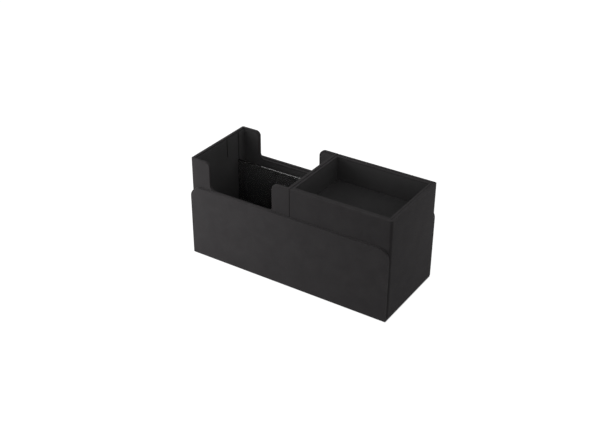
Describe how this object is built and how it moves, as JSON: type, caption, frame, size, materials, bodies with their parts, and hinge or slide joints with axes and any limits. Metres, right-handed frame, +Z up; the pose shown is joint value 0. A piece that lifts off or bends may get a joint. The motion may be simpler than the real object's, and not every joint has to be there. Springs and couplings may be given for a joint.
{
  "type": "deck box with drawer",
  "caption": "Rigid card box in matte dark microfibre: notched card well with a sheet divider, pull-out drawer with a lift-out tray, standing in its U-shaped slip cover.",
  "frame": {"origin": "under the middle of the footprint, on the face that the cover stands on", "axes": "+X along the box towards the drawer's end panel, -Y the front long side, +Z up"},
  "size_m": [0.22, 0.0924, 0.105],
  "materials": {
    "microfibre_skin": "matte",
    "suede_lining": "matte",
    "greyboard": "matte",
    "clear_sheet": "gloss",
    "magnet_steel": "satin"
  },
  "bodies": {
    "cover": {"cover_base_board": "greyboard", "cover_front_board": "greyboard", "cover_back_board": "greyboard", "cover_wrap": "microfibre_skin", "cover_lining": "suede_lining"},
    "card_box": {"box_base_board": "greyboard", "box_base_wrap": "microfibre_skin", "well_left_board": "greyboard", "well_front_board": "greyboard", "well_back_board": "greyboard", "well_partition_board": "greyboard", "well_wrap": "microfibre_skin", "well_floor_lining": "suede_lining", "well_front_lining": "suede_lining", "well_back_lining": "suede_lining", "well_left_facing": "suede_lining", "well_partition_facing": "suede_lining", "partition_magnets": "magnet_steel"},
    "divider": {"slot_divider": "clear_sheet"},
    "drawer": {"drawer_end_board": "greyboard", "drawer_inner_board": "greyboard", "drawer_front_board": "greyboard", "drawer_back_board": "greyboard", "drawer_floor_board": "greyboard", "drawer_wrap": "microfibre_skin", "drawer_wall_lining": "suede_lining", "drawer_floor_lining": "suede_lining", "tray_ledges": "greyboard", "drawer_magnets": "magnet_steel"},
    "tray": {"tray_shell": "microfibre_skin", "tray_lining": "suede_lining"}
  },
  "joints": [
    {"name": "box_lift", "type": "slide", "parent": "cover", "child": "card_box", "axis": [0, 0, 1], "range_m": [0, 0.08]},
    {"name": "divider_lift", "type": "slide", "parent": "card_box", "child": "divider", "axis": [0, 0, 1], "range_m": [0, 0.1]},
    {"name": "drawer_slide", "type": "slide", "parent": "card_box", "child": "drawer", "axis": [1, 0, 0], "range_m": [0, 0.1]},
    {"name": "tray_lift", "type": "slide", "parent": "drawer", "child": "tray", "axis": [0, 0, 1], "range_m": [0, 0.04]}
  ]
}
